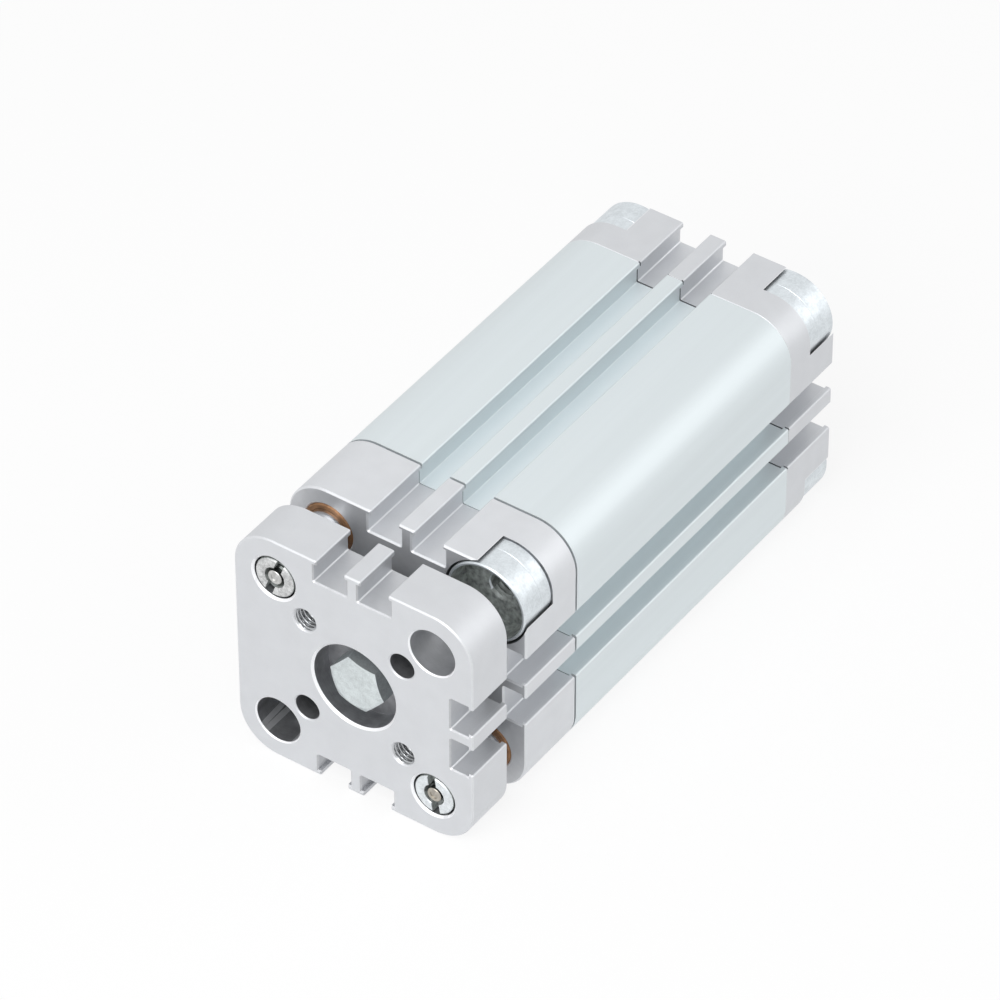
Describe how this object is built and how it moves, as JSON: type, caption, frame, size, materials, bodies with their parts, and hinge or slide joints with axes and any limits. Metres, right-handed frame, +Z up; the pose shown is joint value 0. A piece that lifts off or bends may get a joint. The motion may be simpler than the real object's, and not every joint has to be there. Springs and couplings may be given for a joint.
{
  "type": "guided pneumatic cylinder",
  "caption": "Compact square pneumatic cylinder with a slotted barrel, a yoke plate on the piston rod and two guide rods that keep the plate from turning.",
  "frame": {"origin": "centre of the rear cap's end face, on the cylinder's axis", "axes": "+Y along the axis from the yoke plate to the rear, +Z up through the top slotted side, -X through the plain side with the ports"},
  "size_m": [0.049, 0.11, 0.049],
  "materials": {
    "barrel_anodised": "satin, pale green-grey anodised extrusion",
    "cap_metal": "satin, plain anodised",
    "screw_zinc": "bright zinc plated, turned",
    "nut_zinc": "zinc plated",
    "bolt_zinc": "zinc plated, mottled",
    "rod_steel": "hard chromed and ground",
    "bush_bronze": "dull sintered bronze",
    "piston_metal": "turned",
    "seal_rubber": "matte",
    "bumper_rubber": "matte",
    "ring_plastic": "matte",
    "magnet": "matte, plastic bound magnet"
  },
  "bodies": {
    "cylinder_body": {"barrel": "barrel_anodised", "front_bumper": "bumper_rubber", "front_cap": "cap_metal", "front_cap_seal": "seal_rubber", "front_collar_screw_1": "screw_zinc", "front_collar_screw_2": "screw_zinc", "guide_bush_1": "bush_bronze", "guide_bush_2": "bush_bronze", "rear_bumper": "bumper_rubber", "rear_cap": "cap_metal", "rear_cap_seal": "seal_rubber", "rear_collar_screw_1": "screw_zinc", "rear_collar_screw_2": "screw_zinc", "rear_collar_screw_3": "screw_zinc", "rear_collar_screw_4": "screw_zinc", "rod_bush": "bush_bronze", "rod_seal": "seal_rubber"},
    "rod_and_yoke": {"guide_rod_1": "rod_steel", "guide_rod_2": "rod_steel", "guide_rod_nut_1": "nut_zinc", "guide_rod_nut_2": "nut_zinc", "piston_front_half": "piston_metal", "piston_front_seal": "seal_rubber", "piston_guide_ring": "ring_plastic", "piston_magnet": "magnet", "piston_nut": "nut_zinc", "piston_rear_half": "piston_metal", "piston_rear_seal": "seal_rubber", "piston_rod": "rod_steel", "piston_rod_seal": "seal_rubber", "yoke_bolt": "bolt_zinc", "yoke_plate": "cap_metal"}
  },
  "joints": [
    {"name": "rod_stroke", "type": "slide", "parent": "cylinder_body", "child": "rod_and_yoke", "axis": [0, -1, 0], "range_m": [0, 0.05]}
  ]
}
